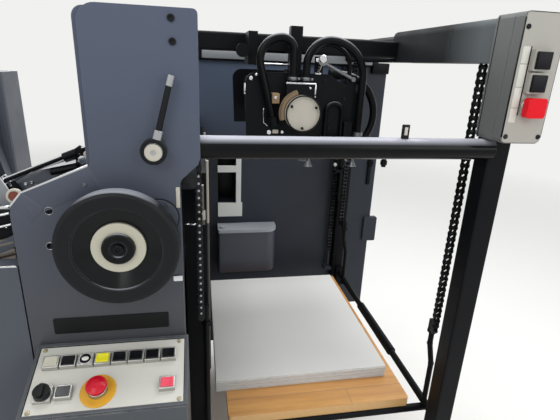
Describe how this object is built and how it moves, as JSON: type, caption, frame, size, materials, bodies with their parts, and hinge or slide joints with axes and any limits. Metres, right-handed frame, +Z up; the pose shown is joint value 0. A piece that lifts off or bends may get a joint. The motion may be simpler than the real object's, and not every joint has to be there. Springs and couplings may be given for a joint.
{
  "type": "sheet-fed offset printing press",
  "caption": "Sheet-fed offset press: pile feeder with chain lift, suction head, handwheel, lever and sloping console, printing unit and delivery.",
  "frame": {"origin": "floor level, at the middle of the press seen from above", "axes": "+X along the press from the delivery to the feeder pile, +Y from the operator side to the drive side, +Z up"},
  "size_m": [2.962, 1.442, 1.53],
  "materials": {
    "black_plastic": "black moulded plastic",
    "bright_steel": "ground steel",
    "chain_steel": "oiled dark chain steel",
    "console_grey": "dark grey satin enamel",
    "cream_enamel": "cream enamel",
    "dark_paint": "dark grey satin machine enamel",
    "frame_white": "white enamel",
    "head_black": "black painted casting",
    "hood_grey": "grey hammered enamel",
    "hose_rubber": "black rubber hose",
    "panel_grey": "light grey anodised face",
    "plywood": "varnished plywood",
    "press_paint": "blue-grey semi-gloss machine enamel",
    "red_plastic": "glossy red moulded plastic",
    "roller_rubber": "black roller rubber",
    "satin_black": "black satin paint on steel tube",
    "sheet_paper": "uncoated white paper",
    "wheel_black": "black phenolic moulding"
  },
  "bodies": {
    "press": {"operator_plate": "press_paint", "drive_plate": "dark_paint", "window_frame": "frame_white", "bedplate": "satin_black", "cross_bars": "satin_black", "front_wall": "satin_black", "pile_guides": "bright_steel", "guard_tube": "satin_black", "rear_posts": "satin_black", "top_beams": "satin_black", "rear_hood": "hood_grey", "rear_panel": "dark_paint", "control_box": "hood_grey", "control_plate": "panel_grey", "control_buttons": "black_plastic", "control_stop": "red_plastic", "lift_shaft": "bright_steel", "chain_rear_operator": "chain_steel", "chain_front_operator": "chain_steel", "chain_rear_drive": "chain_steel", "chain_front_drive": "chain_steel", "lift_gear_cover": "dark_paint", "head_carrier": "satin_black", "suction_head": "head_black", "head_cap": "cream_enamel", "sucker_row": "bright_steel", "air_hoses": "hose_rubber", "feed_board": "press_paint", "feed_rods": "bright_steel", "console_box": "console_grey", "console_panel": "panel_grey", "console_buttons": "black_plastic", "name_strip": "black_plastic", "unit_frames": "press_paint", "cylinders": "bright_steel", "ink_rollers": "roller_rubber", "ink_fountain": "bright_steel", "unit_guard": "press_paint", "unit_cover": "press_paint", "drive_cover": "press_paint", "delivery_frames": "press_paint", "delivery_hood": "press_paint", "delivery_board": "plywood"},
    "wheel": {"handwheel": "wheel_black", "handwheel_ring": "cream_enamel"},
    "lever": {"throw_lever": "bright_steel"},
    "selector": {"selector_knob": "black_plastic"},
    "stop": {"stop_button": "red_plastic"},
    "lift": {"lift_frame": "satin_black", "pile_board": "plywood", "paper_pile": "sheet_paper"}
  },
  "joints": [
    {"name": "handwheel_turn", "type": "hinge", "parent": "press", "child": "wheel", "pos_m": [0.525, -0.61905, 1.103], "axis": [0, 1, 0], "continuous": true},
    {"name": "lever_throw", "type": "hinge", "parent": "press", "child": "lever", "pos_m": [0.59, -0.59905, 1.268], "axis": [0, 1, 0], "range_deg": [-45, 0]},
    {"name": "selector_turn", "type": "hinge", "parent": "press", "child": "selector", "pos_m": [0.385, -0.68511, 0.85014], "axis": [0, -0.3584, 0.9336], "range_deg": [-45, 45]},
    {"name": "stop_press", "type": "slide", "parent": "press", "child": "stop", "axis": [0, 0.3584, -0.9336], "range_m": [0, 0.004], "stiffness_N_per_m": 1500, "springref_m": -0.004},
    {"name": "pile_lift", "type": "slide", "parent": "press", "child": "lift", "axis": [0, 0, 1], "range_m": [-0.3, 0.6]}
  ]
}
